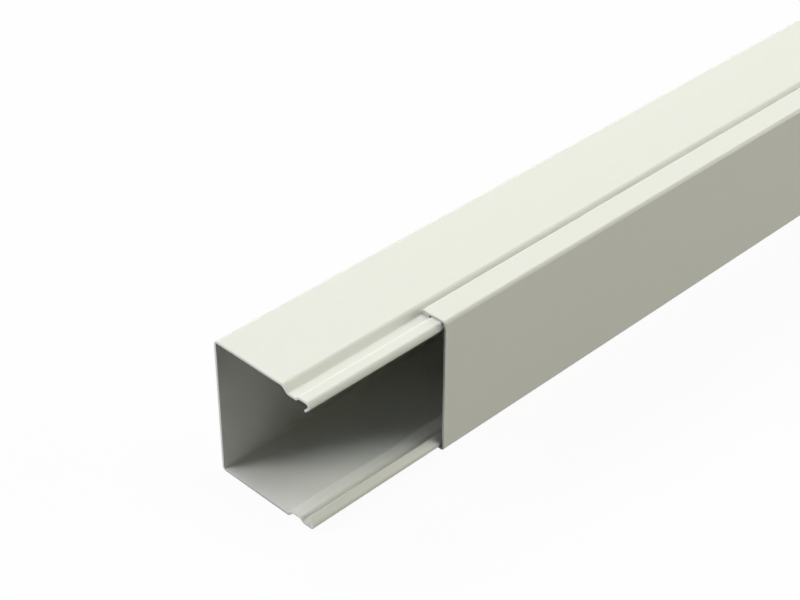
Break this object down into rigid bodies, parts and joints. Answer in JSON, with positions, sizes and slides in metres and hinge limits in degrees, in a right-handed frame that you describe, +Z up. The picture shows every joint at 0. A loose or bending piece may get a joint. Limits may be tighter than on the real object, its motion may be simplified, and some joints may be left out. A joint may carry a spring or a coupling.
{
  "type": "cord cover raceway",
  "caption": "Folded sheet-steel cable raceway: a channel with rolled rims and a clip-on cover that slides along them, drawn back from one open end.",
  "frame": {"origin": "on the outer face of the lower side wall, in the middle of the channel's length and of the closed raceway's depth", "axes": "+X along the length, with the uncovered open end at -X; +Y towards the back wall that is fixed to a building, with the mouth and cover at -Y; +Z up across the width, as the raceway lies on one side wall"},
  "size_m": [2.0658, 0.0512, 0.06],
  "materials": {
    "cream_powder_coat": "smooth satin powder coat, cream white"
  },
  "bodies": {
    "channel": {"base_channel": "cream_powder_coat"},
    "cover": {"clip_cover": "cream_powder_coat"}
  },
  "joints": [
    {"name": "cover_slide", "type": "slide", "parent": "channel", "child": "cover", "axis": [1, 0, 0], "range_m": [-0.0658, 1.88]}
  ]
}
